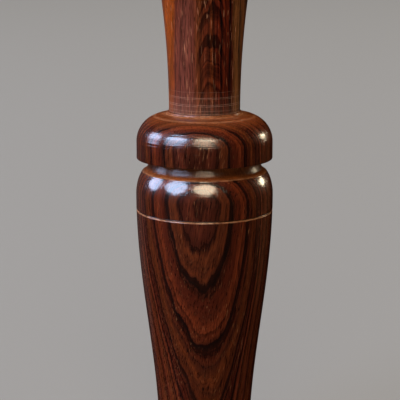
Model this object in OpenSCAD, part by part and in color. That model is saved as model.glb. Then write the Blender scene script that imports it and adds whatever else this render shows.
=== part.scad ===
// Duck call: a turned barrel that the player blows through, and an insert that plugs into it.
// The insert is a turned stem glued on a moulded tone board, with two reeds under a cork wedge
// and two rubber rings that hold it in the barrel's bore.
// Z = 0 is the mouth end of the barrel, and +Z runs up the axis to the bell end of the stem.
// The reeds lie on the -Y side of the tone board.

/* [Barrel] */
// Length of the barrel, from the mouth end to the face that the stem seats on
barrel_length = 90; // [86:0.5:94]
// Radius of the belly, the widest part of the barrel
belly_r = 16.49; // [15.9:0.05:17.2]
// Radius of the waist behind the lip of the mouth end
waist_r = 11.15; // [10.6:0.05:11.8]
// Radius of the collar above the lanyard groove
collar_r = 16.32; // [15.9:0.02:16.8]
// Depth of the collar, from its sharp lower edge to the seating face
collar_height = 11.3; // [10.5:0.1:12.5]
// Radius of the neck at the bottom of the lanyard groove
neck_r = 13.3; // [12.8:0.1:13.8]

/* [Bores] */
// Radius of the main bore, which takes a 5/8 inch insert
bore_r = 7.9375; // [7.9375]
// Radius of the throat in the mouth end, a 1/2 inch hole
throat_r = 6.35; // [6:0.05:6.6]
// Height where the throat ends and the drill's cone opens it to the main bore
throat_top = 22.5; // [18:0.5:26]

/* [Stem] */
// Length of the stem outside the barrel
stem_length = 52; // [48:0.5:56]
// Radius of the stem where it meets the barrel
stem_root_r = 8.5; // [8.3:0.05:8.9]
// How fast the stem flares: radius gained per millimetre squared
flare_rate = 0.00236; // [0.0018:0.00002:0.0028]
// Radius of the socket in the stem, a 1/2 inch hole with room for glue
socket_r = 6.4; // [6.4]
// Radius of the exhaust bore, a 7/16 inch hole
exhaust_r = 5.56; // [5.4:0.02:5.8]
// Radius of the exhaust bell at the end face
bell_r = 11.2; // [10.4:0.1:11.4]

/* [Tone board] */
// Radius of the tenon that enters the barrel
tenon_r = 7.75; // [7.65:0.01:7.8]
// Length of the round tenon
tenon_length = 20; // [20]
// Length from the seating face to the tip of the board
board_reach = 59; // [57:0.5:61]
// Distance from the axis to the flat that the reeds are clamped on
seat_offset = 2.4; // [2.2:0.1:2.6]
// Angle at which the board falls away from the reeds, in degrees
fall_angle = 2.4; // [2.4]

/* [Reeds] */
// Width of both reeds
reed_width = 11.2; // [10.4:0.1:11.6]
// Thickness of the lower reed
lower_reed_t = 0.25; // [0.25]
// Thickness of the upper reed
upper_reed_t = 0.36; // [0.36]
// How far the lower reed stops short of the tip of the board
lower_reed_gap = 0.7; // [0.4:0.1:1.5]
// How much shorter the upper reed is than the lower one
upper_reed_less = 3.4; // [2.5:0.1:5]

/* [Hidden] */
$fn = 96;
steps = 14; // pieces in each rounded stretch of an outline
flare_steps = 26; // pieces in each long curve of an outline
slack = 0.02; // overshoot of a cutting tool past the face it leaves

// Barrel outline
belly_z = barrel_length - 20;
waist_z = 6.3;
lip_r = 11.65;
lip_round = 1.7;
lip_height = 2.5; // the lip's straight side ends here
rim_chamfer = 0.8;
line_z = barrel_length - 23.8; // the scored line round the belly
line_depth = 0.32;
line_width = 0.5;
bead_round = [3.9, 7]; // across and down
bead_end = 53; // the angle at which the bead stops at its fillet
fillet_width = 0.3;
fillet_height = 0.25;
cove_r = 5;
cove_end = 30; // how far the cove turns outwards before it stops at the fillet
collar_z = barrel_length - collar_height;
collar_edge = 0.12; // the broken edge under the collar
crown_flat_r = 9.5; // the top of the collar is level here
crown_height = 6.55;
crown_drop = 0.65; // how far the top of the collar lies below the seating face
bore_chamfer = 0.15;
drill_cone = 31; // half of 118 degrees, taken from 90

// Stem outline
stem_top = barrel_length + stem_length;
rim_round = 2.6;
rim_start = 4.2; // below the end face, where the flare turns into the rounded rim
rim_swell = 0.42; // how much wider the rim is than the flare where it starts
bell_depth = 16;
socket_depth = 19;
edge_break = 0.1;

// Tone board
spigot_r = 6.35;
spigot_length = 18;
ring_groove_r = 6.2;
ring_groove_width = 2;
ring_depths = [8.7, 3.7]; // front ring, then rear ring, below the seating face
ring_section_r = 0.83;
ring_r = 7.07;
notch_back = 11; // depths below the seating face
break_depth = 21;
notch_front_height = 3.8;
notch_back_height = 3.0;
board_root_r = 7.6;
board_tip_r = 6.6;
board_half_width = [6.3, 5.8]; // at the root and at the tip
board_bend_r = 1500;
tip_corner = 2.2;
channel_r = 2.3;
channel_start = 23.5;
channel_end = 53.5;
channel_rise = 3.6; // slope of the channel's floor, in degrees
channel_floor = 1.9; // how far the channel's axis starts from the seat
airway_r = 3.5;
airway_y = 2.1;
airway_end = 27;

// Reeds and wedge
reed_clear = 0.06; // gap that the dimple of the upper reed keeps open
dog_ear = 1.6;
bend_gap = 0.02; // between each tail and its blade, on the line where the reed bends
clamp_gap = 0.1; // behind the tails and the cork
cork_stand_out = 1;
cork_r = 7.6;

seat_y = -seat_offset;
board_tip_z = barrel_length - board_reach;
break_z = barrel_length - break_depth;
notch_back_z = barrel_length - notch_back;
notch_front_z = barrel_length - tenon_length;
reed_stack = lower_reed_t + upper_reed_t;
far = 20; // well outside the insert
tail_top = notch_back_z - clamp_gap;
blade_top = break_z - bend_gap;
lower_tip = board_tip_z + lower_reed_gap;
upper_tip = lower_tip + upper_reed_less;

function arc(centre, radii, from, to, n = steps) =
    [for (i = [0 : n])
        let (a = from + (to - from) * i / n)
        [centre[0] + radii[0] * cos(a), centre[1] + radii[1] * sin(a)]];

function ogee_r(z) = waist_r + (belly_r - waist_r) * (1 - cos(180 * (z - waist_z) / (belly_z - waist_z))) / 2;

function ogee(z0, z1, n) = [for (i = [0 : n]) let (z = z0 + (z1 - z0) * i / n) [ogee_r(z), z]];

function stem_r(rise) = stem_root_r + flare_rate * pow(rise, 2);

// The board falls away from the reeds by a slope and a very large radius.
function board_y(drop) = seat_y + drop * tan(fall_angle) + pow(drop, 2) / (2 * board_bend_r);

// Radius and height of the barrel's outside, from the mouth end up to the seating face.
function barrel_outside() =
    let (bead_z = belly_z + bead_round[1] * sin(bead_end))
    let (bead_r = belly_r - bead_round[0] * (1 - cos(bead_end)))
    concat(
        arc([lip_r - lip_round, lip_round], [lip_round, lip_round], -90, 0),
        [[lip_r, lip_height]],
        ogee(waist_z, line_z - line_width / 2, flare_steps),
        [[ogee_r(line_z) - line_depth, line_z]],
        ogee(line_z + line_width / 2, belly_z, 4),
        arc([belly_r - bead_round[0], belly_z], bead_round, bead_end / steps, bead_end),
        [[bead_r - fillet_width, bead_z + edge_break], [bead_r - 1.4 * fillet_width, bead_z + fillet_height]],
        arc([neck_r + cove_r, collar_z], [cove_r, cove_r], 180 + cove_end, 180),
        [[collar_r - collar_edge, collar_z], [collar_r, collar_z + collar_edge]],
        arc([crown_flat_r, barrel_length - crown_drop - crown_height],
            [collar_r - crown_flat_r, crown_height], 0, 90),
        arc([crown_flat_r, barrel_length], [crown_drop, crown_drop], 262, 180, 5));

function barrel_bore() =
    let (cone = (bore_r - throat_r) * tan(drill_cone))
    [[bore_r + bore_chamfer, barrel_length], [bore_r, barrel_length - bore_chamfer],
     [bore_r, throat_top + cone], [throat_r, throat_top],
     [throat_r, rim_chamfer], [throat_r + rim_chamfer, 0]];

function stem_outside() =
    let (flare = stem_length - rim_start)
    concat(
        [[stem_root_r - edge_break, barrel_length]],
        [for (i = [0 : flare_steps])
            let (rise = edge_break + (flare - edge_break) * i / flare_steps)
            [stem_r(rise), barrel_length + rise]],
        arc([stem_r(flare) + rim_swell - rim_round, stem_top - rim_round], [rim_round, rim_round], 0, 90));

// The bell opens from the exhaust bore to the end face in a quarter of an ellipse.
function stem_inside() =
    let (socket_z = barrel_length + socket_depth)
    concat(
        arc([bell_r, stem_top - bell_depth], [bell_r - exhaust_r, bell_depth], 90, 180),
        [[exhaust_r, socket_z], [socket_r, socket_z], [socket_r, barrel_length]]);

module barrel() {
    color("#4a1c12")
        rotate_extrude()
            polygon(concat(barrel_outside(), barrel_bore()));
}

module stem() {
    color("#5a2415")
        rotate_extrude()
            polygon(concat(stem_outside(), stem_inside()));
}

// An outline in Y and Z, drawn as [y, z], made into a prism of the given width across X.
module across_x(width) {
    rotate([90, 0, 90])
        translate([0, 0, -width / 2])
            linear_extrude(width)
                children();
}

module ring_groove(depth) {
    translate([0, 0, barrel_length - depth - ring_groove_width / 2])
        difference() {
            cylinder(r = tenon_r + 1, h = ring_groove_width);
            translate([0, 0, -slack])
                cylinder(r = ring_groove_r, h = ring_groove_width + 2 * slack);
        }
}

// What is cut away in front of the reeds: the slot for the cork, and all that stands above the board.
module reed_side_cut() {
    across_x(2 * far)
        polygon(concat(
            [[-far, board_tip_z - 1], [-far, notch_front_z],
             [seat_y - notch_front_height, notch_front_z],
             [seat_y - notch_back_height, notch_back_z],
             [seat_y, notch_back_z]],
            [for (i = [0 : steps])
                let (drop = (board_reach - break_depth + 1) * i / steps)
                [board_y(drop), break_z - drop]]));
}

// The channel under the reeds: a round-bottomed slot whose floor climbs towards the tip.
module tone_channel() {
    length = channel_end - channel_start;
    translate([0, seat_y + channel_floor, barrel_length - channel_start])
        rotate([-channel_rise, 0, 0])
            translate([0, 0, -length]) {
                cylinder(r = channel_r, h = length);
                translate([-channel_r, -far, 0])
                    cube([2 * channel_r, far, length]);
                rotate([90, 0, 0])
                    cylinder(r = channel_r, h = far);
                sphere(r = channel_r);
            }
}

// The plan of the board, in X and Z: two tapering sides and two cut corners at the tip.
module board_plan() {
    root = board_half_width[0];
    tip = board_half_width[1];
    rotate([90, 0, 0])
        translate([0, 0, -far])
            linear_extrude(2 * far)
                polygon([[-root, notch_front_z], [root, notch_front_z],
                    [tip, board_tip_z + tip_corner], [tip - tip_corner, board_tip_z],
                    [tip_corner - tip, board_tip_z], [-tip, board_tip_z + tip_corner]]);
}

module airway() {
    translate([0, airway_y, barrel_length - airway_end]) {
        cylinder(r = airway_r, h = airway_end + spigot_length + slack);
        sphere(r = airway_r);
    }
}

module tone_board() {
    color("#1b1a1c")
        difference() {
            union() {
                translate([0, 0, notch_front_z])
                    cylinder(r = tenon_r, h = tenon_length);
                translate([0, 0, barrel_length - slack])
                    cylinder(r = spigot_r, h = spigot_length + slack);
                intersection() {
                    translate([0, 0, board_tip_z])
                        cylinder(r1 = board_tip_r, r2 = board_root_r, h = board_reach - tenon_length);
                    board_plan();
                }
            }
            for (depth = ring_depths)
                ring_groove(depth);
            reed_side_cut();
            tone_channel();
            airway();
        }
}

module o_ring(depth) {
    color("#141414")
        translate([0, 0, barrel_length - depth])
            rotate_extrude()
                translate([ring_r, 0])
                    circle(r = ring_section_r);
}

module wedge_cork() {
    front = seat_y - notch_front_height;
    back = seat_y - notch_back_height;
    slope = (notch_front_height - notch_back_height) / (notch_back_z - notch_front_z);
    color("#b98a55")
        intersection() {
            across_x(reed_width)
                polygon([[seat_y - reed_stack, break_z], [front - slope * cork_stand_out, break_z],
                    [front, notch_front_z], [back, tail_top],
                    [seat_y - reed_stack, tail_top]]);
            translate([0, 0, break_z - cork_stand_out])
                cylinder(r = cork_r, h = far);
        }
}

// A flat strip of reed between two heights, with its under face at y, and dog ears if ear is above 0.
module reed_strip(under_y, thickness, low_z, high_z, ear) {
    half = reed_width / 2;
    translate([0, under_y, 0])
        rotate([90, 0, 0])
            linear_extrude(thickness)
                polygon([[-half, high_z], [half, high_z], [half, low_z + 2 * ear],
                    [half - ear, low_z], [ear - half, low_z], [-half, low_z + 2 * ear]]);
}

module lower_reed(low_z, high_z, ear) {
    color("#d9d6c8")
        reed_strip(seat_y, lower_reed_t, low_z, high_z, ear);
}

// The clamped tail lies on the lower reed, and the blade stands off it by lift.
module upper_reed(low_z, high_z, ear, lift) {
    color("#cfd4d2")
        reed_strip(seat_y - lower_reed_t - lift, upper_reed_t, low_z, high_z, ear);
}

barrel();
stem();
tone_board();
o_ring(ring_depths[0]);  // front_o_ring
o_ring(ring_depths[1]);  // rear_o_ring
wedge_cork();
lower_reed(break_z, tail_top, 0);  // lower_reed_tail
lower_reed(lower_tip, blade_top, dog_ear);  // lower_reed_blade
upper_reed(break_z, tail_top, 0, 0);  // upper_reed_tail
upper_reed(upper_tip, blade_top, dog_ear, reed_clear);  // upper_reed_blade
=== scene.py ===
# Duck call in lacquered rosewood: the turned barrel and stem, and the reed insert that plugs between them.
import math

import bmesh
import bpy
from mathutils import Matrix, Vector, noise


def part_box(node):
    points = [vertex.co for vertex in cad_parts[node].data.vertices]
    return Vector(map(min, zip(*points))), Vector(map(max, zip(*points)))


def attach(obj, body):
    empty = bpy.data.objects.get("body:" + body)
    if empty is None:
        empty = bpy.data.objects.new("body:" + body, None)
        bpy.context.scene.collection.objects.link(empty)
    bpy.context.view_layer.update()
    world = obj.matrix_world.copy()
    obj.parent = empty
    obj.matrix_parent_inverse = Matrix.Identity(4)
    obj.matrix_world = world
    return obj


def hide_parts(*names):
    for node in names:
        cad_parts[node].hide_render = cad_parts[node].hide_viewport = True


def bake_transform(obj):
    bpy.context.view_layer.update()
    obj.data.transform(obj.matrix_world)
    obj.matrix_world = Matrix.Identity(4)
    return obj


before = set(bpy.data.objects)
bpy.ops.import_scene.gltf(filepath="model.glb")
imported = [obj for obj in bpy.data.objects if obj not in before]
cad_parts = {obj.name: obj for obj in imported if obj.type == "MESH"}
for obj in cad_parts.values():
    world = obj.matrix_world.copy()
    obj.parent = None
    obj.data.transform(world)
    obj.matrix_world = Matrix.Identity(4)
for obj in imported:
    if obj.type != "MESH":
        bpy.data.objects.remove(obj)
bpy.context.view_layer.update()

mm = 0.001
upAxis = (0, 0, 1)
weld = 0.0001 * mm


def linearColour(hexText):
    # sRGB hex to the linear values that the shaders take
    channels = []
    for start in (1, 3, 5):
        value = int(hexText[start:start + 2], 16) / 255
        channels.append(value / 12.92 if value <= 0.04045 else ((value + 0.055) / 1.055) ** 2.4)
    return (*channels, 1.0)


def addNode(tree, kind, sockets=None, **settings):
    # one node, its settings, and what goes into its sockets: a value, or another node's output
    node = tree.nodes.new(kind)
    for name, value in settings.items():
        setattr(node, name, value)
    for name, value in (sockets or {}).items():
        if isinstance(value, bpy.types.NodeSocket):
            tree.links.new(value, node.inputs[name])
        else:
            node.inputs[name].default_value = value
    return node


def newMaterial(name):
    material = bpy.data.materials.new(name)
    material.use_nodes = True
    tree = material.node_tree
    tree.nodes.clear()
    shader = addNode(tree, "ShaderNodeBsdfPrincipled")
    output = addNode(tree, "ShaderNodeOutputMaterial")
    tree.links.new(shader.outputs["BSDF"], output.inputs["Surface"])
    return material, tree, shader


def setShader(shader, **values):
    # settings that are the same all over the surface
    for name, value in values.items():
        shader.inputs[name.replace("_", " ")].default_value = value


def objectPlace(tree, scale=(1, 1, 1), location=(0, 0, 0), tilt=(0, 0, 0)):
    # object coordinates in millimetres, turned and moved, then stretched along the grain by scale
    place = addNode(tree, "ShaderNodeTexCoord").outputs["Object"]
    trunk = addNode(tree, "ShaderNodeMapping", {
        "Vector": place, "Scale": (1000, 1000, 1000), "Location": location,
        "Rotation": [math.radians(a) for a in tilt]}).outputs[0]
    if scale == (1, 1, 1):
        return trunk
    return addNode(tree, "ShaderNodeMapping", {"Vector": trunk, "Scale": scale}).outputs[0]


def arcPoints(centre, radii, startAngle, endAngle, count):
    # an arc of an ellipse in radius and height, in degrees
    points = []
    for i in range(count + 1):
        angle = math.radians(startAngle + (endAngle - startAngle) * i / count)
        points.append((centre[0] + radii[0] * math.cos(angle), centre[1] + radii[1] * math.sin(angle)))
    return points


def curvePoints(radiusAt, startHeight, endHeight, count):
    heights = [startHeight + (endHeight - startHeight) * i / count for i in range(count + 1)]
    return [(radiusAt(height), height) for height in heights]


def meshObject(name, bm, material, smoothAngle=35):
    mesh = bpy.data.meshes.new(name)
    bm.to_mesh(mesh)
    bm.free()
    mesh.materials.append(material)
    mesh.shade_smooth()
    mesh.set_sharp_from_angle(angle=math.radians(smoothAngle))
    piece = bpy.data.objects.new(name, mesh)
    bpy.context.scene.collection.objects.link(piece)
    return piece


def spinOutline(outline, segments):
    # a closed outline in millimetres, as radius and height, turned once round the call's axis
    bm = bmesh.new()
    verts = [bm.verts.new((radius * mm, 0, height * mm)) for radius, height in outline]
    edges = [bm.edges.new((verts[i], verts[(i + 1) % len(verts)])) for i in range(len(verts))]
    bmesh.ops.spin(bm, geom=verts + edges, cent=(0, 0, 0), axis=upAxis, dvec=(0, 0, 0),
                   angle=2 * math.pi, steps=segments, use_merge=True, use_duplicate=False)
    bmesh.ops.remove_doubles(bm, verts=bm.verts, dist=weld)
    bmesh.ops.recalc_face_normals(bm, faces=bm.faces)
    return bm


camera = {
    "pitch": 11.7,        # degrees down
    "distance": 350,      # from the call's axis, mm
    "aimHeight": 68.2,
    "aimSide": -1.09,
    "lens": 130.2,
}


def placeCamera(size):
    pitch = math.radians(size["pitch"])
    data = bpy.data.cameras.new("camera")
    data.lens = size["lens"]
    data.sensor_width = 36
    data.clip_start = 0.01
    eye = bpy.data.objects.new("camera", data)
    bpy.context.scene.collection.objects.link(eye)
    back = size["distance"] * math.cos(pitch)
    rise = size["distance"] * math.sin(pitch)
    eye.location = (size["aimSide"] * mm, -back * mm, (size["aimHeight"] + rise) * mm)
    eye.rotation_euler = (math.pi / 2 - pitch, 0, 0)
    bpy.context.scene.camera = eye


placeCamera(camera)
print("camera placed")


barrelWood = {
    "name": "lacqueredRosewoodBarrel",
    "pith": (4.5, -45, 0),           # moves the tree's centre onto the pattern's axis, mm
    "tilt": (0, -7.3, 0),            # how the trunk leans against the call, degrees
    "pithDepth": 45,
    "bend": (1.0, 0.7),              # how far slow and quick noise move the rings, mm
    # dark growth lines: depth in front of the call's axis, half width, darkness
    "lines": [(16.3, 0.3, 0.4), (15.72, 0.2, 0.35), (15.32, 0.17, 1.0), (14.6, 0.14, 0.2), (13.52, 0.19, 1.0),
              (12.85, 0.18, 0.7), (12.2, 0.14, 0.35), (11.6, 0.22, 0.85), (10.7, 0.2, 0.75),
              (10.0, 0.2, 0.85), (9.1, 0.12, 0.4), (8.2, 0.18, 0.7), (7.3, 0.14, 0.4), (6.1, 0.18, 0.7),
              (4.8, 0.14, 0.4), (3.7, 0.2, 0.7), (2.2, 0.14, 0.35), (0.8, 0.2, 0.7), (-1.2, 0.18, 0.5),
              (-3.0, 0.28, 0.8), (-4.6, 0.16, 0.4), (-6.4, 0.24, 0.8), (-8.1, 0.16, 0.5), (-9.8, 0.28, 0.85),
              (-11.5, 0.16, 0.4), (-13.0, 0.24, 0.8), (-14.6, 0.2, 0.7), (-15.8, 0.16, 0.5)],
    # colour of the wood between the lines, by the same depth
    "toneAndLightZones": [(17.0, "#4c2011"), (16.2, "#42190d"), (15.9, "#562711"), (14.9, "#43170a"), (14.1, "#52200d"),
              (13.2, "#42180b"), (12.4, "#56260f"), (11.0, "#46180c"), (9.5, "#5c2811"), (8.6, "#491b0d"),
              (7.6, "#582610"), (5.5, "#4c1c0d"), (3.0, "#5a2810"), (0.0, "#42180b"), (-3.8, "#56260f"),
              (-8.0, "#42180b"), (-12.0, "#54240e"), (-17.0, "#42180b")],
    "stripes": 1.5,                  # narrow bands to the millimetre
    "hairlines": 3.2,                # and thin dark lines
    "hairDark": 0.45,
    "dark": "#0a0605",
    "fleck": "#a5704a",
    "fleckShow": 0.45,
    "fleckLong": 0.38,               # waves to the millimetre along the grain, so less is longer
    # pale turned marks, and painted highlights where the scored line's lower lip and the bead's edge catch
    # the light: height, half width, strength
    "markRange": (62, 92),
    "marksAndGlints": [(66.08, 0.15, 0.7), (75.66, 0.12, 0.5), (88.9, 0.1, 0.3), (89.5, 0.12, 0.45),
              (89.85, 0.1, 0.4)],
    "markAndGlintColour": "#b3805a",
    "dustAndLightColour": "#b0622f",
    # how much gloss film is left: height, share
    "film": [(62.0, 1.0), (75.5, 1.0), (75.8, 0.3), (76.2, 0.22), (78.55, 0.2), (78.75, 0.7), (83.0, 0.55),
             (84.9, 0.55), (85.3, 1.0), (87.4, 1.0), (88.4, 0.3), (92.0, 0.2)],
    # pale tan laid on by height: sanding dust where the wood was scraped and not polished, and painted light
    # too: a painted warm highlight along the cove under the collar, and the crown's top painted lighter as if
    # lit from above
    "dustAndPaintedLight": [(62.0, 0.0), (75.5, 0.0), (75.9, 0.6), (78.3, 0.55), (78.75, 0.0), (87.0, 0.0),
             (88.8, 0.22), (92.0, 0.3)],
    # and how rippled the film is
    "ripples": [(62.0, 0.05), (75.4, 0.08), (75.7, 0.45), (78.6, 0.35), (79.0, 0.3), (83.2, 0.5), (84.8, 0.5),
                (86.0, 0.34), (86.8, 0.14), (88.0, 0.1), (88.6, 0.9), (92.0, 0.9)],
}

stemWood = {
    "name": "lacqueredRosewoodStem",
    "pith": (-60, -4, 0),
    "tilt": (-3.0, 0.5, 0),
    "pithDepth": 60.2,
    "bend": (2.6, 2.0),
    "lines": [(9.4, 0.3, 0.4), (6.3, 0.2, 0.35), (3.9, 0.16, 0.25), (0.3, 0.3, 0.5), (-1.2, 0.25, 0.6),
              (-2.4, 0.3, 0.8), (-3.4, 0.2, 0.6), (-4.4, 0.35, 0.95), (-5.4, 0.2, 0.7), (-6.4, 0.35, 0.95),
              (-7.5, 0.2, 0.5), (-9.2, 0.3, 0.8), (-11.0, 0.25, 0.7)],
    # colour by depth, which here runs across the stem from left to right: the wood's own tone with painted
    # light in it: lighter orange on the left, a painted purple-grey sheen left of the middle, painted shade
    # darkening the right, and a painted olive reflection at the right edge
    "toneAndLightZones": [(11.5, "#74300e"), (9.0, "#7e380d"), (7.0, "#843c0e"), (6.2, "#58281a"), (4.5, "#603226"),
              (2.2, "#5a2c20"), (1.0, "#5c2c14"), (-0.6, "#4a1c0e"), (-2.0, "#5e2810"), (-3.0, "#4c180b"),
              (-5.0, "#5c1e0b"), (-6.9, "#4c180b"), (-7.6, "#6e4220"), (-9.5, "#643818"), (-12.0, "#46190b")],
    # bowed figure in front, where the rings were cut nearly flat: mm, and arches to the millimetre
    "eye": {"middle": 1.6, "half": 4.2, "bow": 11, "front": -4, "fade": 2, "wave": 7, "arches": 0.3},
    "stripes": 1.2,
    "hairlines": 1.6,
    "hairDark": 0.75,
    "dark": "#0e0605",
    "fleck": "#bd8460",
    "fleckShow": 0.8,
    "fleckLong": 0.24,
    "markRange": (88, 100),
    "marksAndGlints": [(90.25, 0.12, 0.55), (91.0, 0.07, 0.3), (92.1, 0.07, 0.45), (92.45, 0.06, 0.5),
              (93.8, 0.05, 0.3), (94.1, 0.06, 0.45), (95.4, 0.05, 0.2)],
    "markAndGlintColour": "#b08a76",
    "dustAndLightColour": "#b08a76",
    "film": [(88.0, 0.4), (91.5, 0.45), (94.0, 0.55), (100.0, 0.6)],
    "dustAndPaintedLight": [(88.0, 0.35), (90.8, 0.22), (92.4, 0.1), (96.0, 0.0), (100.0, 0.0)],
    "ripples": [(88.0, 0.5), (91.2, 0.4), (92.5, 0.15), (97.0, 0.08), (100.0, 0.08)],
}

woodNoise = {
    # waves to the millimetre across and along the trunk
    "slow": (0.05, 0.05, 0.02),
    "quick": (0.35, 0.35, 0.06),
    "fibre": (3.4, 3.4, 0.14),
    "vessel": (4.5, 4.5, 0.35),
    "fleckAcross": 5.8,
    # and across and along the call
    "markAndGlintWobble": (0.5, 0.5, 0.5),
    "markAndGlintGaps": (1.1, 1.1, 2.5),
    "latheRings": (0.06, 0.06, 1.7),
    "scuff": (1.2, 1.2, 5.0),
    "coatWave": (0.45, 0.45, 0.3),
}
woodShares = {
    "lineStrength": 0.95,
    "fleckCrowd": 0.35,     # how far the noise that bends the rings gathers flecks into patches
    "vesselDip": -0.8,      # against the fibres' height
    "scuff": 0.2,           # against the ripples' height, as are the next two
    "coatWave": 0.15,
    "coatPores": -0.04,
}
reach = 17.0            # the growth lines are drawn this far in front of and behind the call's axis, mm
markAndGlintWobble = 0.125      # the turned marks and painted glints run this far up and down, mm
closestPoints = 0.001   # least share of the range between two points of a curve

# a line fades in on one side and ends sharply on the other, as a year's growth does:
# half widths from its middle, share of its strength
lineShape = ((-1.7, 0), (-0.3, 1), (0.35, 1), (1, 0))


def fillCurve(node, points):
    # straight stretches between points from 0 to 1
    curve = node.mapping.curves[0]
    curve.points[0].location = points[0]
    curve.points[1].location = points[-1]
    for place in points[1:-1]:
        curve.points.new(*place)
    for point in curve.points:
        point.handle_type = "VECTOR"
    node.mapping.update()


def peaks(lines, low, high):
    # one rise and fall for each line: where it is, its half width and its strength
    points = [(0.0, 0.0)]
    for middle, half, strength in sorted(lines):
        for offset, share in lineShape:
            place = (middle + offset * half - low) / (high - low)
            if points[-1][0] + closestPoints < place < 1 - closestPoints:
                points.append((place, strength * share))
    return points + [(1.0, 0.0)]


def fillRamp(node, stops, low, high):
    ramp = node.color_ramp
    while len(ramp.elements) > 1:
        ramp.elements.remove(ramp.elements[-1])
    for index, (depth, hexText) in enumerate(sorted(stops)):
        place = (depth - low) / (high - low)
        element = ramp.elements[0] if index == 0 else ramp.elements.new(place)
        element.position = place
        element.color = linearColour(hexText)


def eyeShade(tree, eye, quick, bandShade):
    # arches one above the other in a narrow strip of the front, in place of the straight bands
    spot = addNode(tree, "ShaderNodeSeparateXYZ", {0: objectPlace(tree)}).outputs
    across = addNode(tree, "ShaderNodeMath", {0: spot["X"], 1: eye["middle"]},
                     operation="SUBTRACT").outputs[0]
    across = addNode(tree, "ShaderNodeMath", {0: across, 1: eye["half"]}, operation="DIVIDE").outputs[0]
    square = addNode(tree, "ShaderNodeMath", {0: across, 1: across}, operation="MULTIPLY").outputs[0]
    arch = addNode(tree, "ShaderNodeMath", {0: square, 1: eye["bow"], 2: spot["Z"]},
                   operation="MULTIPLY_ADD").outputs[0]
    arch = addNode(tree, "ShaderNodeMath", {0: quick, 1: eye["wave"], 2: arch},
                   operation="MULTIPLY_ADD").outputs[0]
    rings = addNode(tree, "ShaderNodeTexNoise", {
        "W": arch, "Scale": eye["arches"], "Detail": 3.0, "Roughness": 0.6},
        noise_dimensions="1D").outputs["Fac"]
    ringShade = addNode(tree, "ShaderNodeMapRange", {
        "Value": rings, "From Min": 0.38, "From Max": 0.6, "To Min": 0.3, "To Max": 1.25}).outputs[0]
    near = addNode(tree, "ShaderNodeMapRange", {
        "Value": square, "From Min": 0.2, "From Max": 1.0, "To Min": 1.0, "To Max": 0.0},
        interpolation_type="SMOOTHSTEP").outputs[0]
    front = addNode(tree, "ShaderNodeMapRange", {
        "Value": spot["Y"], "From Min": eye["front"] - eye["fade"], "From Max": eye["front"],
        "To Min": 1.0, "To Max": 0.0},
        interpolation_type="SMOOTHSTEP").outputs[0]
    show = addNode(tree, "ShaderNodeMath", {0: near, 1: front}, operation="MULTIPLY").outputs[0]
    return addNode(tree, "ShaderNodeMix", {0: show, 2: bandShade, 3: ringShade}).outputs[0]


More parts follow.
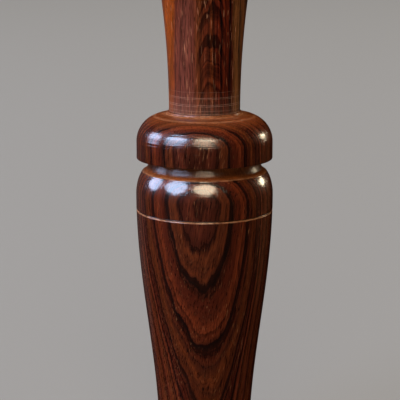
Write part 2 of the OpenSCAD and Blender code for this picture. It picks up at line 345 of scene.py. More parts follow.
def woodMaterial(wood):
    # Rosewood, turned between centres, sanded and lacquered: black growth lines in red-brown and orange
    # heartwood, fine pores that catch the light, and a clear glossy film with the lathe's ripples in it.
    material, tree, shader = newMaterial(wood["name"])
    trunk = objectPlace(tree, location=wood["pith"], tilt=wood["tilt"])
    height = addNode(tree, "ShaderNodeSeparateXYZ", {0: objectPlace(tree)}).outputs["Z"]

    # growth rings: distance from the tree's centre, bent a little by two sizes of noise
    slowPlace = addNode(tree, "ShaderNodeMapping", {"Vector": trunk, "Scale": woodNoise["slow"]}).outputs[0]
    slow = addNode(tree, "ShaderNodeTexNoise", {
        "Vector": slowPlace, "Scale": 1.0, "Detail": 1.5}).outputs["Fac"]
    quickPlace = addNode(tree, "ShaderNodeMapping", {"Vector": trunk, "Scale": woodNoise["quick"]}).outputs[0]
    quick = addNode(tree, "ShaderNodeTexNoise", {
        "Vector": quickPlace, "Scale": 1.0, "Detail": 3.0}).outputs["Fac"]
    flat = addNode(tree, "ShaderNodeVectorMath", {0: trunk, 1: (1, 1, 0)}, operation="MULTIPLY").outputs[0]
    radius = addNode(tree, "ShaderNodeVectorMath", {0: flat}, operation="LENGTH").outputs["Value"]
    slowBend, quickBend = wood["bend"]
    bent = addNode(tree, "ShaderNodeMath", {0: slow, 1: slowBend, 2: radius},
                   operation="MULTIPLY_ADD").outputs[0]
    bent = addNode(tree, "ShaderNodeMath", {0: quick, 1: quickBend, 2: bent},
                   operation="MULTIPLY_ADD").outputs[0]
    middle = wood["pithDepth"] + (slowBend + quickBend) / 2
    depth = addNode(tree, "ShaderNodeMath", {0: bent, 1: middle}, operation="SUBTRACT").outputs[0]
    share = addNode(tree, "ShaderNodeMapRange", {
        "Value": depth, "From Min": -reach, "From Max": reach}).outputs[0]
    lineCurve = addNode(tree, "ShaderNodeFloatCurve", {"Value": share})
    fillCurve(lineCurve, peaks(wood["lines"], -reach, reach))
    # colour between the lines by depth; on the stem this ramp also carries painted light and shade from left
    # to right
    toneAndLightZones = addNode(tree, "ShaderNodeValToRGB", {"Fac": share})
    fillRamp(toneAndLightZones, wood["toneAndLightZones"], -reach, reach)

    # narrow bands lighter and darker between the lines
    bands = addNode(tree, "ShaderNodeTexNoise", {
        "W": depth, "Scale": wood["stripes"], "Detail": 4.0, "Roughness": 0.7},
        noise_dimensions="1D").outputs["Fac"]
    bandShade = addNode(tree, "ShaderNodeMapRange", {
        "Value": bands, "From Min": 0.32, "From Max": 0.68, "To Min": 0.55, "To Max": 1.4}).outputs[0]
    hair = addNode(tree, "ShaderNodeTexNoise", {
        "W": depth, "Scale": wood["hairlines"], "Detail": 2.0}, noise_dimensions="1D").outputs["Fac"]
    hairShade = addNode(tree, "ShaderNodeMapRange", {
        "Value": hair, "From Min": 0.52, "From Max": 0.68,
        "To Min": 1.0, "To Max": wood["hairDark"]}).outputs[0]

    # fibres: 0.15 mm across and several millimetres long
    fibrePlace = addNode(tree, "ShaderNodeMapping", {"Vector": trunk, "Scale": woodNoise["fibre"]}).outputs[0]
    fibre = addNode(tree, "ShaderNodeTexNoise", {
        "Vector": fibrePlace, "Scale": 1.0, "Detail": 4.0, "Roughness": 0.65}).outputs["Fac"]
    fibreShade = addNode(tree, "ShaderNodeMapRange", {
        "Value": fibre, "From Min": 0.3, "From Max": 0.7, "To Min": 0.4, "To Max": 1.65}).outputs[0]

    # vessels cut along their length: dark ones 0.2 mm wide, and short pale ones filled with sanding dust
    vesselPlace = addNode(tree, "ShaderNodeMapping", {
        "Vector": trunk, "Scale": woodNoise["vessel"]}).outputs[0]
    vessel = addNode(tree, "ShaderNodeTexNoise", {
        "Vector": vesselPlace, "Scale": 1.0, "Detail": 1.0, "Roughness": 0.4}).outputs["Fac"]
    vesselMask = addNode(tree, "ShaderNodeMapRange", {
        "Value": vessel, "From Min": 0.6, "From Max": 0.72, "To Max": 0.7},
        interpolation_type="SMOOTHSTEP").outputs[0]
    across = woodNoise["fleckAcross"]
    fleckPlace = addNode(tree, "ShaderNodeMapping", {
        "Vector": trunk, "Scale": (across, across, wood["fleckLong"])}).outputs[0]
    fleck = addNode(tree, "ShaderNodeTexNoise", {
        "Vector": fleckPlace, "Scale": 1.0, "Detail": 0.5}).outputs["Fac"]
    fleckCrowd = addNode(tree, "ShaderNodeMath", {0: quick, 1: woodShares["fleckCrowd"], 2: fleck},
                         operation="MULTIPLY_ADD").outputs[0]
    fleckMask = addNode(tree, "ShaderNodeMapRange", {
        "Value": fleckCrowd, "From Min": 0.86, "From Max": 1.0, "To Max": wood["fleckShow"]},
        interpolation_type="SMOOTHSTEP").outputs[0]

    if "eye" in wood:
        bandShade = eyeShade(tree, wood["eye"], quick, bandShade)
    shade = addNode(tree, "ShaderNodeMath", {0: bandShade, 1: fibreShade}, operation="MULTIPLY").outputs[0]
    shade = addNode(tree, "ShaderNodeMath", {0: shade, 1: hairShade}, operation="MULTIPLY").outputs[0]
    colour = addNode(tree, "ShaderNodeVectorMath", {0: toneAndLightZones.outputs[0], "Scale": shade},
                     operation="SCALE").outputs[0]
    colour = addNode(tree, "ShaderNodeMix", {
        0: fleckMask, 6: colour, 7: linearColour(wood["fleck"])}, data_type="RGBA").outputs[2]
    lineShow = addNode(tree, "ShaderNodeMath", {0: lineCurve.outputs[0], 1: woodShares["lineStrength"]},
                       operation="MULTIPLY").outputs[0]
    colour = addNode(tree, "ShaderNodeMix", {
        0: lineShow, 6: colour, 7: linearColour(wood["dark"])}, data_type="RGBA").outputs[2]
    colour = addNode(tree, "ShaderNodeMix", {
        0: vesselMask, 6: colour, 7: linearColour(wood["dark"])}, data_type="RGBA").outputs[2]

    # thin marks from the skew chisel, broken here and there, with wax left in them; on the barrel, the pale
    # line in the scored groove's lower half is wax and a painted highlight on its lower lip, and the one at
    # the bead's edge a painted glint
    low, high = wood["markRange"]
    wobble = addNode(tree, "ShaderNodeTexNoise", {
        "Vector": objectPlace(tree, woodNoise["markAndGlintWobble"]), "Scale": 1.0, "Detail": 2.0}).outputs["Fac"]
    wavy = addNode(tree, "ShaderNodeMath", {0: wobble, 1: 2 * markAndGlintWobble, 2: height},
                   operation="MULTIPLY_ADD").outputs[0]
    markAndGlintShare = addNode(tree, "ShaderNodeMapRange", {
        "Value": wavy, "From Min": low + markAndGlintWobble, "From Max": high + markAndGlintWobble}).outputs[0]
    markAndGlintCurve = addNode(tree, "ShaderNodeFloatCurve", {"Value": markAndGlintShare})
    fillCurve(markAndGlintCurve, peaks(wood["marksAndGlints"], low, high))
    gaps = addNode(tree, "ShaderNodeTexNoise", {
        "Vector": objectPlace(tree, woodNoise["markAndGlintGaps"]), "Scale": 1.0, "Detail": 2.0}).outputs["Fac"]
    unbroken = addNode(tree, "ShaderNodeMapRange", {
        "Value": gaps, "From Min": 0.36, "From Max": 0.56, "To Min": 0.3}).outputs[0]
    markAndGlintShow = addNode(tree, "ShaderNodeMath", {0: markAndGlintCurve.outputs[0], 1: unbroken},
                       operation="MULTIPLY").outputs[0]
    colour = addNode(tree, "ShaderNodeMix", {
        0: markAndGlintShow, 6: colour, 7: linearColour(wood["markAndGlintColour"])}, data_type="RGBA").outputs[2]

    # where the lathe tool or a cloth has dulled the wood, by height, and where pale tan is laid on as dust
    # and as painted light
    heightShare = addNode(tree, "ShaderNodeMapRange", {
        "Value": height, "From Min": low, "From Max": high}).outputs[0]
    worn = {}
    for name in ("dustAndPaintedLight", "film", "ripples"):
        worn[name] = addNode(tree, "ShaderNodeFloatCurve", {"Value": heightShare})
        fillCurve(worn[name], [((place - low) / (high - low), strength) for place, strength in wood[name]])
    # pale tan over the wood, broken up by the fibres: sanding dust, and on the barrel a painted warm
    # highlight in the cove and a painted lighter top on the crown
    dustAndLightShow = addNode(tree, "ShaderNodeMath", {0: worn["dustAndPaintedLight"].outputs[0], 1: fibre},
                       operation="MULTIPLY").outputs[0]
    colour = addNode(tree, "ShaderNodeMix", {
        0: dustAndLightShow, 6: colour, 7: linearColour(wood["dustAndLightColour"])}, data_type="RGBA").outputs[2]
    tree.links.new(colour, shader.inputs["Base Color"])

    # surface: vessels dip a little under the film, and fibres stand up or lie flat
    relief = addNode(tree, "ShaderNodeMath", {0: vesselMask, 1: woodShares["vesselDip"], 2: fibre},
                     operation="MULTIPLY_ADD").outputs[0]
    bump = addNode(tree, "ShaderNodeBump", {
        "Height": relief, "Strength": 0.15, "Distance": 0.2 * mm}).outputs[0]
    tree.links.new(bump, shader.inputs["Normal"])
    rough = addNode(tree, "ShaderNodeMapRange", {
        "Value": fibre, "From Min": 0.3, "From Max": 0.7, "To Min": 0.25, "To Max": 0.38}).outputs[0]
    tree.links.new(rough, shader.inputs["Roughness"])
    setShader(shader, IOR=1.5, Specular_IOR_Level=0.04, Coat_Roughness=0.14, Coat_IOR=1.5)

    # the film follows the pores a little, and carries ripples and scuffs where it was wiped on the lathe
    tree.links.new(worn["film"].outputs[0], shader.inputs["Coat Weight"])
    rings = addNode(tree, "ShaderNodeTexNoise", {
        "Vector": objectPlace(tree, woodNoise["latheRings"]),
        "Scale": 1.0, "Detail": 2.5, "Roughness": 0.6}).outputs["Fac"]
    scuff = addNode(tree, "ShaderNodeTexNoise", {
        "Vector": objectPlace(tree, woodNoise["scuff"]), "Scale": 1.0, "Detail": 2.0}).outputs["Fac"]
    rings = addNode(tree, "ShaderNodeMath", {0: scuff, 1: woodShares["scuff"], 2: rings},
                    operation="MULTIPLY_ADD").outputs[0]
    ringHeight = addNode(tree, "ShaderNodeMath", {0: rings, 1: worn["ripples"].outputs[0]},
                         operation="MULTIPLY").outputs[0]
    coatWave = addNode(tree, "ShaderNodeTexNoise", {
        "Vector": objectPlace(tree, woodNoise["coatWave"]), "Scale": 1.0, "Detail": 2.5}).outputs["Fac"]
    film = addNode(tree, "ShaderNodeMath", {0: coatWave, 1: woodShares["coatWave"], 2: ringHeight},
                   operation="MULTIPLY_ADD").outputs[0]
    film = addNode(tree, "ShaderNodeMath", {0: vesselMask, 1: woodShares["coatPores"], 2: film},
                   operation="MULTIPLY_ADD").outputs[0]
    coatBump = addNode(tree, "ShaderNodeBump", {
        "Height": film, "Strength": 1.0, "Distance": 0.24 * mm}).outputs[0]
    tree.links.new(coatBump, shader.inputs["Coat Normal"])
    return material


barrelLow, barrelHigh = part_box("barrel")
barrel = {                   # millimetres and degrees, as in the other pieces
    "length": (barrelHigh.z - barrelLow.z) / mm,
    "bellyRadius": 16.49,
    "waistRadius": 11.15,
    "waistHeight": 6.3,
    "lipRadius": 11.65,
    "lipRound": 1.7,
    "lipLand": [(0, 2.2), (0.03, 2.8)],   # nearly straight above the lip: in, and height
    "taperStart": 4.3,
    "bellyBelowTop": 20,
    "lineBelowTop": 23.8,
    "lineDepth": 0.3,
    "lineWidth": 0.5,
    "lineGap": 0.3,          # the taper's own points keep this far from the scored line
    "bellyGap": 0.2,         # and this far from the bead
    "beadRound": (3.9, 7.0),
    "beadEnd": 53,
    "beadStep": [(0.08, 0.05), (0.3, 0.1), (0.42, 0.22), (0.48, 0.25)],   # in from the bead, and up
    "neckRadius": 13.3,
    "neckEdge": 0.06,
    "coveRound": 5.0,
    "coveEnd": 30,
    "collarHeight": 11.3,
    "collarRadius": 16.32,
    "collarEdge": 0.14,
    "collarFlat": 0.25,      # the flat underside ends this far in
    "crownFlat": 9.5,
    "crownHeight": 6.55,
    "crownDrop": 0.65,       # small hollow between the crown and the flat top
    "topEdge": 0.05,
    "boreRadius": 7.9375,
    "boreChamfer": 0.15,
    "drillAngle": 31,
    "throatRadius": 6.35,
    "throatTop": 22.5,
    "throatRound": 0.8,
    "segments": 224,
}


def barrelOutline(size):
    top = size["length"]
    bellyHeight = top - size["bellyBelowTop"]
    collarBottom = top - size["collarHeight"]
    lineHeight = top - size["lineBelowTop"]
    half = size["lineWidth"] / 2

    def taper(height):
        turn = math.pi * (height - size["waistHeight"]) / (bellyHeight - size["waistHeight"])
        return size["waistRadius"] + (size["bellyRadius"] - size["waistRadius"]) * (1 - math.cos(turn)) / 2

    def scored(height):
        # the scored line is a smooth notch in the taper
        across = (height - lineHeight) / half
        return taper(height) - size["lineDepth"] * (1 + math.cos(math.pi * across)) / 2

    beadAcross, beadDown = size["beadRound"]
    beadRadius = size["bellyRadius"] - beadAcross * (1 - math.cos(math.radians(size["beadEnd"])))
    beadTop = bellyHeight + beadDown * math.sin(math.radians(size["beadEnd"]))
    lip, edge, throatRound = size["lipRound"], size["collarEdge"], size["throatRound"]
    outline = arcPoints((size["lipRadius"] - lip, lip), (lip, lip), -90, 0, count=12)
    outline += [(size["lipRadius"] - inward, height) for inward, height in size["lipLand"]]
    outline += curvePoints(taper, size["taperStart"], lineHeight - half - size["lineGap"], count=52)
    outline += curvePoints(scored, lineHeight - half, lineHeight + half, count=10)
    outline += curvePoints(taper, lineHeight + half + size["lineGap"],
                           bellyHeight - size["bellyGap"], count=5)
    outline += arcPoints((size["bellyRadius"] - beadAcross, bellyHeight), size["beadRound"],
                         0, size["beadEnd"], count=26)
    outline += [(beadRadius - inward, beadTop + up) for inward, up in size["beadStep"]]
    outline += arcPoints((size["neckRadius"] + size["coveRound"], collarBottom), (size["coveRound"],) * 2,
                         180 + size["coveEnd"], 181, count=16)
    outline += [(size["neckRadius"] + size["neckEdge"], collarBottom),
                (size["collarRadius"] - size["collarFlat"], collarBottom)]
    outline += arcPoints((size["collarRadius"] - edge, collarBottom + edge), (edge, edge), -80, 0, count=4)
    outline += arcPoints((size["crownFlat"], top - size["crownDrop"] - size["crownHeight"]),
                         (size["collarRadius"] - size["crownFlat"], size["crownHeight"]), 0, 90, count=36)
    outline += arcPoints((size["crownFlat"], top), (size["crownDrop"],) * 2, 262, 184, count=5)
    cone = (size["boreRadius"] - size["throatRadius"]) * math.tan(math.radians(size["drillAngle"]))
    outline += [(size["crownFlat"] - size["crownDrop"] - size["topEdge"], top),
                (size["boreRadius"] + size["boreChamfer"], top),
                (size["boreRadius"], top - size["boreChamfer"]),
                (size["boreRadius"], size["throatTop"] + cone),
                (size["throatRadius"], size["throatTop"]),
                (size["throatRadius"], throatRound)]
    outline += arcPoints((size["throatRadius"] + throatRound, throatRound), (throatRound,) * 2,
                         190, 268, count=5)
    return outline


barrelPiece = meshObject("barrelTurned", spinOutline(barrelOutline(barrel), barrel["segments"]),
                         woodMaterial(barrelWood), smoothAngle=40)
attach(barrelPiece, "barrel")
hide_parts("barrel")
print("barrel turned")


stemLow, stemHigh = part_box("stem")
stem = {
    "base": stemLow.z / mm,
    "top": stemHigh.z / mm,
    "rootRadius": 8.5,
    "rootEdge": 0.12,
    "flareRate": 0.00236,
    "rimRound": 2.6,
    "rimStart": 4.2,
    "rimSwell": 0.42,
    "bellRadius": 11.2,
    "bellDepth": 16,
    "exhaustRadius": 5.56,
    "socketRadius": 6.4,
    "socketDepth": 19,
    "segments": 192,
}


def stemOutline(size):
    def flare(height):
        return size["rootRadius"] + size["flareRate"] * (height - size["base"]) ** 2

    rimRadius = flare(size["top"] - size["rimStart"]) + size["rimSwell"]
    edge, rim = size["rootEdge"], size["rimRound"]
    outline = [(size["rootRadius"] - edge, size["base"]),
               (size["rootRadius"] - edge / 4, size["base"] + edge / 3)]
    outline += curvePoints(flare, size["base"] + edge, size["top"] - size["rimStart"], count=44)
    outline += arcPoints((rimRadius - rim, size["top"] - rim), (rim, rim), 0, 90, count=18)
    outline += arcPoints((size["bellRadius"], size["top"] - size["bellDepth"]),
                         (size["bellRadius"] - size["exhaustRadius"], size["bellDepth"]), 90, 180, count=30)
    socketTop = size["base"] + size["socketDepth"]
    outline += [(size["exhaustRadius"], socketTop), (size["socketRadius"], socketTop),
                (size["socketRadius"], size["base"])]
    return outline


stemPiece = meshObject("stemTurned", spinOutline(stemOutline(stem), stem["segments"]),
                       woodMaterial(stemWood), smoothAngle=40)
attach(stemPiece, "insert")
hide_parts("stem")
print("stem turned")


def boardMaterial():
    # ABS, injection moulded and polished: nearly black, satin, with faint flow marks along the board
    # and fine rubbing scratches that show as soft grey lines.
    material, tree, shader = newMaterial("mouldedAbs")
    flow = addNode(tree, "ShaderNodeTexNoise", {
        "Vector": objectPlace(tree, (0.5, 0.5, 0.09)),
        "Scale": 1.0, "Detail": 3.0, "Distortion": 0.6}).outputs["Fac"]
    rub = addNode(tree, "ShaderNodeTexNoise", {
        "Vector": objectPlace(tree, (7.0, 7.0, 0.35)), "Scale": 1.0, "Detail": 2.0}).outputs["Fac"]
    rubMask = addNode(tree, "ShaderNodeMapRange", {
        "Value": rub, "From Min": 0.62, "From Max": 0.75}, interpolation_type="SMOOTHSTEP").outputs[0]
    colour = addNode(tree, "ShaderNodeMix", {
        0: flow, 6: linearColour("#121113"), 7: linearColour("#242226")}, data_type="RGBA").outputs[2]
    worn = addNode(tree, "ShaderNodeMath", {0: rubMask, 1: 0.25}, operation="MULTIPLY").outputs[0]
    colour = addNode(tree, "ShaderNodeMix", {
        0: worn, 6: colour, 7: linearColour("#55535a")}, data_type="RGBA").outputs[2]
    tree.links.new(colour, shader.inputs["Base Color"])
    rough = addNode(tree, "ShaderNodeMapRange", {
        "Value": flow, "From Min": 0.3, "From Max": 0.7, "To Min": 0.26, "To Max": 0.4}).outputs[0]
    tree.links.new(rough, shader.inputs["Roughness"])
    setShader(shader, IOR=1.54)
    softEdge = addNode(tree, "ShaderNodeBevel", {"Radius": 0.18 * mm}, samples=6).outputs[0]
    grit = addNode(tree, "ShaderNodeTexNoise", {
        "Vector": objectPlace(tree, (5, 5, 5)), "Scale": 1.0, "Detail": 3.0}).outputs["Fac"]
    bump = addNode(tree, "ShaderNodeBump", {
        "Height": grit, "Strength": 0.1, "Distance": 0.1 * mm, "Normal": softEdge}).outputs[0]
    tree.links.new(bump, shader.inputs["Normal"])
    return material


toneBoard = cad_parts["tone_board"]
toneBoard.data.materials.clear()
toneBoard.data.materials.append(boardMaterial())
print("tone board finished")


ring = {
    "radius": 7.07,
    "section": 0.83,
    "flash": 0.02,        # thin seam left by the mould's two halves, mm
    "seamAngle": 6,
    "nodes": {"frontRing": "front_o_ring", "rearRing": "rear_o_ring"},
    "segments": 128,
}


def rubberMaterial():
    # Nitrile rubber, compression moulded and greased: black with a grey bloom, a soft broad sheen
    # and a few brighter smears of grease.
    material, tree, shader = newMaterial("greasedNitrileRubber")
    smear = addNode(tree, "ShaderNodeTexNoise", {
        "Vector": objectPlace(tree, (0.5, 0.5, 1.5)), "Scale": 1.0, "Detail": 3.0}).outputs["Fac"]
    colour = addNode(tree, "ShaderNodeMix", {
        0: smear, 6: linearColour("#0e0e0f"), 7: linearColour("#2a2a2b")}, data_type="RGBA").outputs[2]
    tree.links.new(colour, shader.inputs["Base Color"])
    rough = addNode(tree, "ShaderNodeMapRange", {
        "Value": smear, "From Min": 0.35, "From Max": 0.65, "To Min": 0.32, "To Max": 0.6}).outputs[0]
    tree.links.new(rough, shader.inputs["Roughness"])
    setShader(shader, IOR=1.52)
    grain = addNode(tree, "ShaderNodeTexNoise", {
        "Vector": objectPlace(tree, (6, 6, 6)), "Scale": 1.0, "Detail": 2.0}).outputs["Fac"]
    bump = addNode(tree, "ShaderNodeBump", {
        "Height": grain, "Strength": 0.2, "Distance": 0.08 * mm}).outputs[0]
    tree.links.new(bump, shader.inputs["Normal"])
    return material


def makeRings(size):
    material = rubberMaterial()
    for name, node in size["nodes"].items():
        low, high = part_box(node)
        height = (low.z + high.z) / 2 / mm
        outline = arcPoints((size["radius"], height), (size["section"],) * 2,
                            size["seamAngle"], 360 - size["seamAngle"], count=30)
        outline.append((size["radius"] + size["section"] + size["flash"], height))
        piece = meshObject(name, spinOutline(outline, size["segments"]), material, smoothAngle=60)
        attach(piece, "o_rings")
        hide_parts(node)


makeRings(ring)
print("rubber rings moulded")


cork = {
    "weld": 0.001,        # mm
    "voxel": 0.16,
    "shrink": 0.03,       # kept inside the notch
    "pitDepth": 0.44,
    "pitSize": 1.1,
    "pitStart": 0.28,     # only noise above this leaves a pit
    "grainDepth": 0.05,
    "grainSize": 0.45,
}


def corkMaterial():
    # Bark cork, sliced and sanded: tan with darker cell walls, brown lens-shaped pits, dry and without gloss.
    material, tree, shader = newMaterial("slicedCork")
    sockets = {"Vector": objectPlace(tree, (2.6, 2.6, 2.6)), "Scale": 1.0}
    voronoi = addNode(tree, "ShaderNodeTexVoronoi", sockets, feature="DISTANCE_TO_EDGE")
    cells = voronoi.outputs["Distance"]
    wall = addNode(tree, "ShaderNodeMapRange", {
        "Value": cells, "From Max": 0.12, "To Min": 0.75, "To Max": 1.0}).outputs[0]
    tone = addNode(tree, "ShaderNodeTexNoise", {
        "Vector": objectPlace(tree, (0.9, 0.9, 0.9)),
        "Scale": 1.0, "Detail": 4.0, "Roughness": 0.7}).outputs["Fac"]
    colour = addNode(tree, "ShaderNodeMix", {
        0: tone, 6: linearColour("#a06f3e"), 7: linearColour("#cfa26c")}, data_type="RGBA").outputs[2]
    colour = addNode(tree, "ShaderNodeVectorMath", {0: colour, "Scale": wall}, operation="SCALE").outputs[0]
    spots = addNode(tree, "ShaderNodeTexNoise", {
        "Vector": objectPlace(tree, (0.9, 0.9, 1.7)), "Scale": 1.0, "Detail": 2.0}).outputs["Fac"]
    spotMask = addNode(tree, "ShaderNodeMapRange", {
        "Value": spots, "From Min": 0.6, "From Max": 0.68, "To Max": 0.8},
        interpolation_type="SMOOTHSTEP").outputs[0]
    colour = addNode(tree, "ShaderNodeMix", {
        0: spotMask, 6: colour, 7: linearColour("#4b2c17")}, data_type="RGBA").outputs[2]
    tree.links.new(colour, shader.inputs["Base Color"])
    setShader(shader, IOR=1.45, Roughness=0.85, Sheen_Weight=0.15)
    bump = addNode(tree, "ShaderNodeBump", {
        "Height": cells, "Strength": 0.35, "Distance": 0.2 * mm}).outputs[0]
    tree.links.new(bump, shader.inputs["Normal"])
    return material


def makeCork(size):
    # a copy of the solid wedge, remeshed evenly, then pitted where noise is deepest
    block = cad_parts["wedge_cork"]
    bm = bmesh.new()
    bm.from_mesh(block.data)
    bm.transform(block.matrix_world)
    bmesh.ops.remove_doubles(bm, verts=bm.verts, dist=size["weld"] * mm)
    piece = meshObject("corkWedge", bm, corkMaterial(), smoothAngle=80)
    remesh = piece.modifiers.new("evenMesh", "REMESH")
    remesh.mode = "VOXEL"
    remesh.voxel_size = size["voxel"] * mm
    remesh.use_smooth_shade = True
    bpy.context.view_layer.update()
    evened = bpy.data.meshes.new_from_object(piece.evaluated_get(bpy.context.evaluated_depsgraph_get()))
    piece.modifiers.clear()
    piece.data = evened
    bm = bmesh.new()
    bm.from_mesh(evened)
    bmesh.ops.smooth_vert(bm, verts=bm.verts, factor=0.5, use_axis_x=True, use_axis_y=True, use_axis_z=True)
    bm.normal_update()
    for vert in bm.verts:
        pit = max(0.0, noise.noise(vert.co / (size["pitSize"] * mm)) - size["pitStart"])
        grain = abs(noise.noise(vert.co / (size["grainSize"] * mm)))
        inward = size["shrink"] + size["pitDepth"] * pit + size["grainDepth"] * grain
        vert.co -= vert.normal * inward * mm
    bm.to_mesh(evened)
    bm.free()
    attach(piece, "insert")
    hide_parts("wedge_cork")


makeCork(cork)
print("cork wedge cut")


reed = {
    "lower": {"tail": "lower_reed_tail", "blade": "lower_reed_blade", "body": "lower_reed", "dimple": 0.0},
    "upper": {"tail": "upper_reed_tail", "blade": "upper_reed_blade", "body": "upper_reed", "dimple": 0.06},
    "dogEar": 1.6,         # width of the cut corner; it runs twice as far along the reed
    "cell": 0.4,           # size of the sheet's mesh, mm
    "dimpleRadius": 1.5,
    "dimpleHeight": 57.5,  # height on the call's axis, ahead of the cork
    "bendStart": 69.4,     # the film bends between these two heights
    "bendEnd": 62.0,
    "liftRun": 4,          # the free part lifts off over this length
}


def filmMaterial(name, tint, shade):
    # Polyester film, drawn, cut with a die and lightly rubbed: clear with a milky haze, glossy,
    # with fine scratches along its length.
    material, tree, shader = newMaterial(name)
    rub = addNode(tree, "ShaderNodeTexNoise", {
        "Vector": objectPlace(tree, (6.0, 6.0, 0.3)), "Scale": 1.0, "Detail": 3.0}).outputs["Fac"]
    haze = addNode(tree, "ShaderNodeTexNoise", {
        "Vector": objectPlace(tree, (0.25, 0.25, 0.12)), "Scale": 1.0, "Detail": 3.0}).outputs["Fac"]
    colour = addNode(tree, "ShaderNodeMix", {
        0: haze, 6: linearColour(tint), 7: linearColour(shade)}, data_type="RGBA").outputs[2]
    tree.links.new(colour, shader.inputs["Base Color"])
    rough = addNode(tree, "ShaderNodeMapRange", {
        "Value": rub, "From Min": 0.3, "From Max": 0.7, "To Min": 0.16, "To Max": 0.24}).outputs[0]
    tree.links.new(rough, shader.inputs["Roughness"])
    setShader(shader, IOR=1.57, Transmission_Weight=0.6)
    bump = addNode(tree, "ShaderNodeBump", {
        "Height": rub, "Strength": 0.04, "Distance": 0.03 * mm}).outputs[0]
    tree.links.new(bump, shader.inputs["Normal"])
    return material


def makeReed(name, size, shared, material):
    tailLow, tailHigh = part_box(size["tail"])
    bladeLow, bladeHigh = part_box(size["blade"])
    width, length = tailHigh.x - tailLow.x, tailHigh.z - bladeLow.z
    thick = tailHigh.y - tailLow.y
    bm = bmesh.new()
    bmesh.ops.create_grid(bm, x_segments=round(width / mm / shared["cell"]),
                          y_segments=round(length / mm / shared["cell"]), size=0.5)
    bmesh.ops.scale(bm, vec=(width, length, 1), verts=bm.verts)
    bmesh.ops.rotate(bm, matrix=Matrix.Rotation(math.radians(90), 3, "X"), verts=bm.verts)
    bmesh.ops.translate(bm, vec=(0, tailHigh.y, bladeLow.z + length / 2), verts=bm.verts)

    # the two corners of the tip are cut off
    ear = shared["dogEar"] * mm
    for side in (-1, 1):
        bmesh.ops.bisect_plane(bm, geom=bm.verts[:] + bm.edges[:] + bm.faces[:], dist=weld,
                               plane_co=(side * width / 2, 0, bladeLow.z + 2 * ear),
                               plane_no=(side * 2, 0, -1), clear_outer=True)

    # the free part stands off by the small lift, and the upper reed has its pressed dimple
    lift = tailHigh.y - bladeHigh.y
    for vert in bm.verts:
        bend = min(1.0, max(0.0, (shared["bendStart"] * mm - vert.co.z) / (shared["liftRun"] * mm)))
        vert.co.y -= lift * bend * bend * (3 - 2 * bend)
        away = math.hypot(vert.co.x, vert.co.z - shared["dimpleHeight"] * mm) / (shared["dimpleRadius"] * mm)
        if away < 1:
            vert.co.y += size["dimple"] * mm * (1 + math.cos(math.pi * away)) / 2
    for face in bm.faces:
        face.normal_update()
        if face.normal.y < 0:
            face.normal_flip()
    bmesh.ops.solidify(bm, geom=bm.faces[:], thickness=thick)
    bmesh.ops.recalc_face_normals(bm, faces=bm.faces)
    piece = meshObject(name, bm, material, smoothAngle=50)
    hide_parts(size["tail"], size["blade"])
    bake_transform(piece)


makeReed("lowerReed", reed["lower"], reed, filmMaterial("polyesterFilmLower", "#d2d6d6", "#c2c8c8"))
makeReed("upperReed", reed["upper"], reed, filmMaterial("polyesterFilmUpper", "#dadad2", "#cbccc2"))
print("reeds cut")


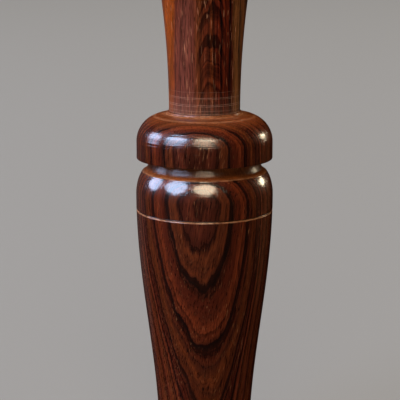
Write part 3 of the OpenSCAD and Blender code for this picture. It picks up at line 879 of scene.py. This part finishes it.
studio = {
    "floor": "#302e2b",
    "floorGlow": "#8b8884",   # the paper is lit from behind as well, which keeps it even out to the horizon
    "backdrop": "#8b8884",
    "floorReach": 8,          # metres
    "aimHeight": 78,          # every panel faces this height on the call's axis, mm
    "shineNearer": 0.1,       # metres
    # turn from the front, height above level of the reflection and of the soft light, distance, width
    # and height, all in degrees and metres, then watts of soft light, watts of reflection, and colour
    "panels": [("sideWindow", -100, 20, 40, 2.4, 1.1, 1.2, 56, 54, "#c6d6ff"),
               ("frontWindow", -54, 29, 48, 2.4, 1.5, 1.6, 58, 128, "#c2d8ff"),
               ("warmWall", 0, 30, 48, 2.4, 1.4, 1.4, 46, 84, "#ffeaca"),
               ("backLamp", 122, 12, 36, 2.4, 0.55, 0.55, 15, 14, "#ffedc8"),
               ("coolRoom", -140, 0, 0, 2.6, 2.6, 2.2, 0, 1.6, "#b5a9ae"),
               ("warmRoom", 118, 0, 0, 2.6, 2.4, 2.2, 0, 1.4, "#c08a5c"),
               ("backWindow", 165, 30, 45, 2.4, 1.2, 1.2, 30, 0, "#f0ece4"),
               ("warmFill", -70, 25, 42, 2.2, 0.8, 0.8, 20, 0, "#ffd8b0")],
}


def makePanel(name, turn, rise, distance, width, height, power, colour):
    data = bpy.data.lights.new(name, "AREA")
    data.shape = "ELLIPSE"
    data.size, data.size_y = width, height
    data.energy = power
    data.color = linearColour(colour)[:3]
    lamp = bpy.data.objects.new(name, data)
    bpy.context.scene.collection.objects.link(lamp)
    turn, rise = math.radians(turn), math.radians(rise)
    way = Vector((math.sin(turn) * math.cos(rise), -math.cos(turn) * math.cos(rise), math.sin(rise)))
    lamp.location = Vector((0, 0, studio["aimHeight"] * mm)) + way * distance
    lamp.rotation_euler = way.to_track_quat("Z", "Y").to_euler()
    return lamp


def makeStudio():
    # the backdrop only shows to the camera: it neither lights the call nor greys its gloss
    world = bpy.data.worlds.new("studio")
    world.use_nodes = True
    background = world.node_tree.nodes["Background"]
    background.inputs["Color"].default_value = linearColour(studio["backdrop"])
    bpy.context.scene.world = world
    world.cycles_visibility.diffuse = False
    world.cycles_visibility.glossy = False

    bm = bmesh.new()
    bmesh.ops.create_grid(bm, x_segments=2, y_segments=2, size=studio["floorReach"])
    material, tree, shader = newMaterial("litPaper")
    material.cycles.emission_sampling = "NONE"
    shader.inputs["Base Color"].default_value = linearColour(studio["floor"])
    shader.inputs["Emission Color"].default_value = linearColour(studio["floorGlow"])
    setShader(shader, Roughness=0.9, Emission_Strength=1.0)
    floor = meshObject("floor", bm, material)
    floor.visible_glossy = False      # the gloss film would turn grey with the floor in it

    # soft light and the bright shape in the gloss are set apart, so that neither washes out the wood
    for name, turn, rise, softRise, distance, width, height, soft, shine, colour in studio["panels"]:
        if soft:
            lamp = makePanel(name, turn, softRise, distance, width, height, soft, colour)
            lamp.visible_glossy = False
        if shine:
            nearer = distance - studio["shineNearer"]
            lamp = makePanel(name + "Shine", turn, rise, nearer, width, height, shine, colour)
            lamp.visible_diffuse = False


makeStudio()
bpy.context.scene.view_settings.view_transform = "Standard"
print("studio lit")
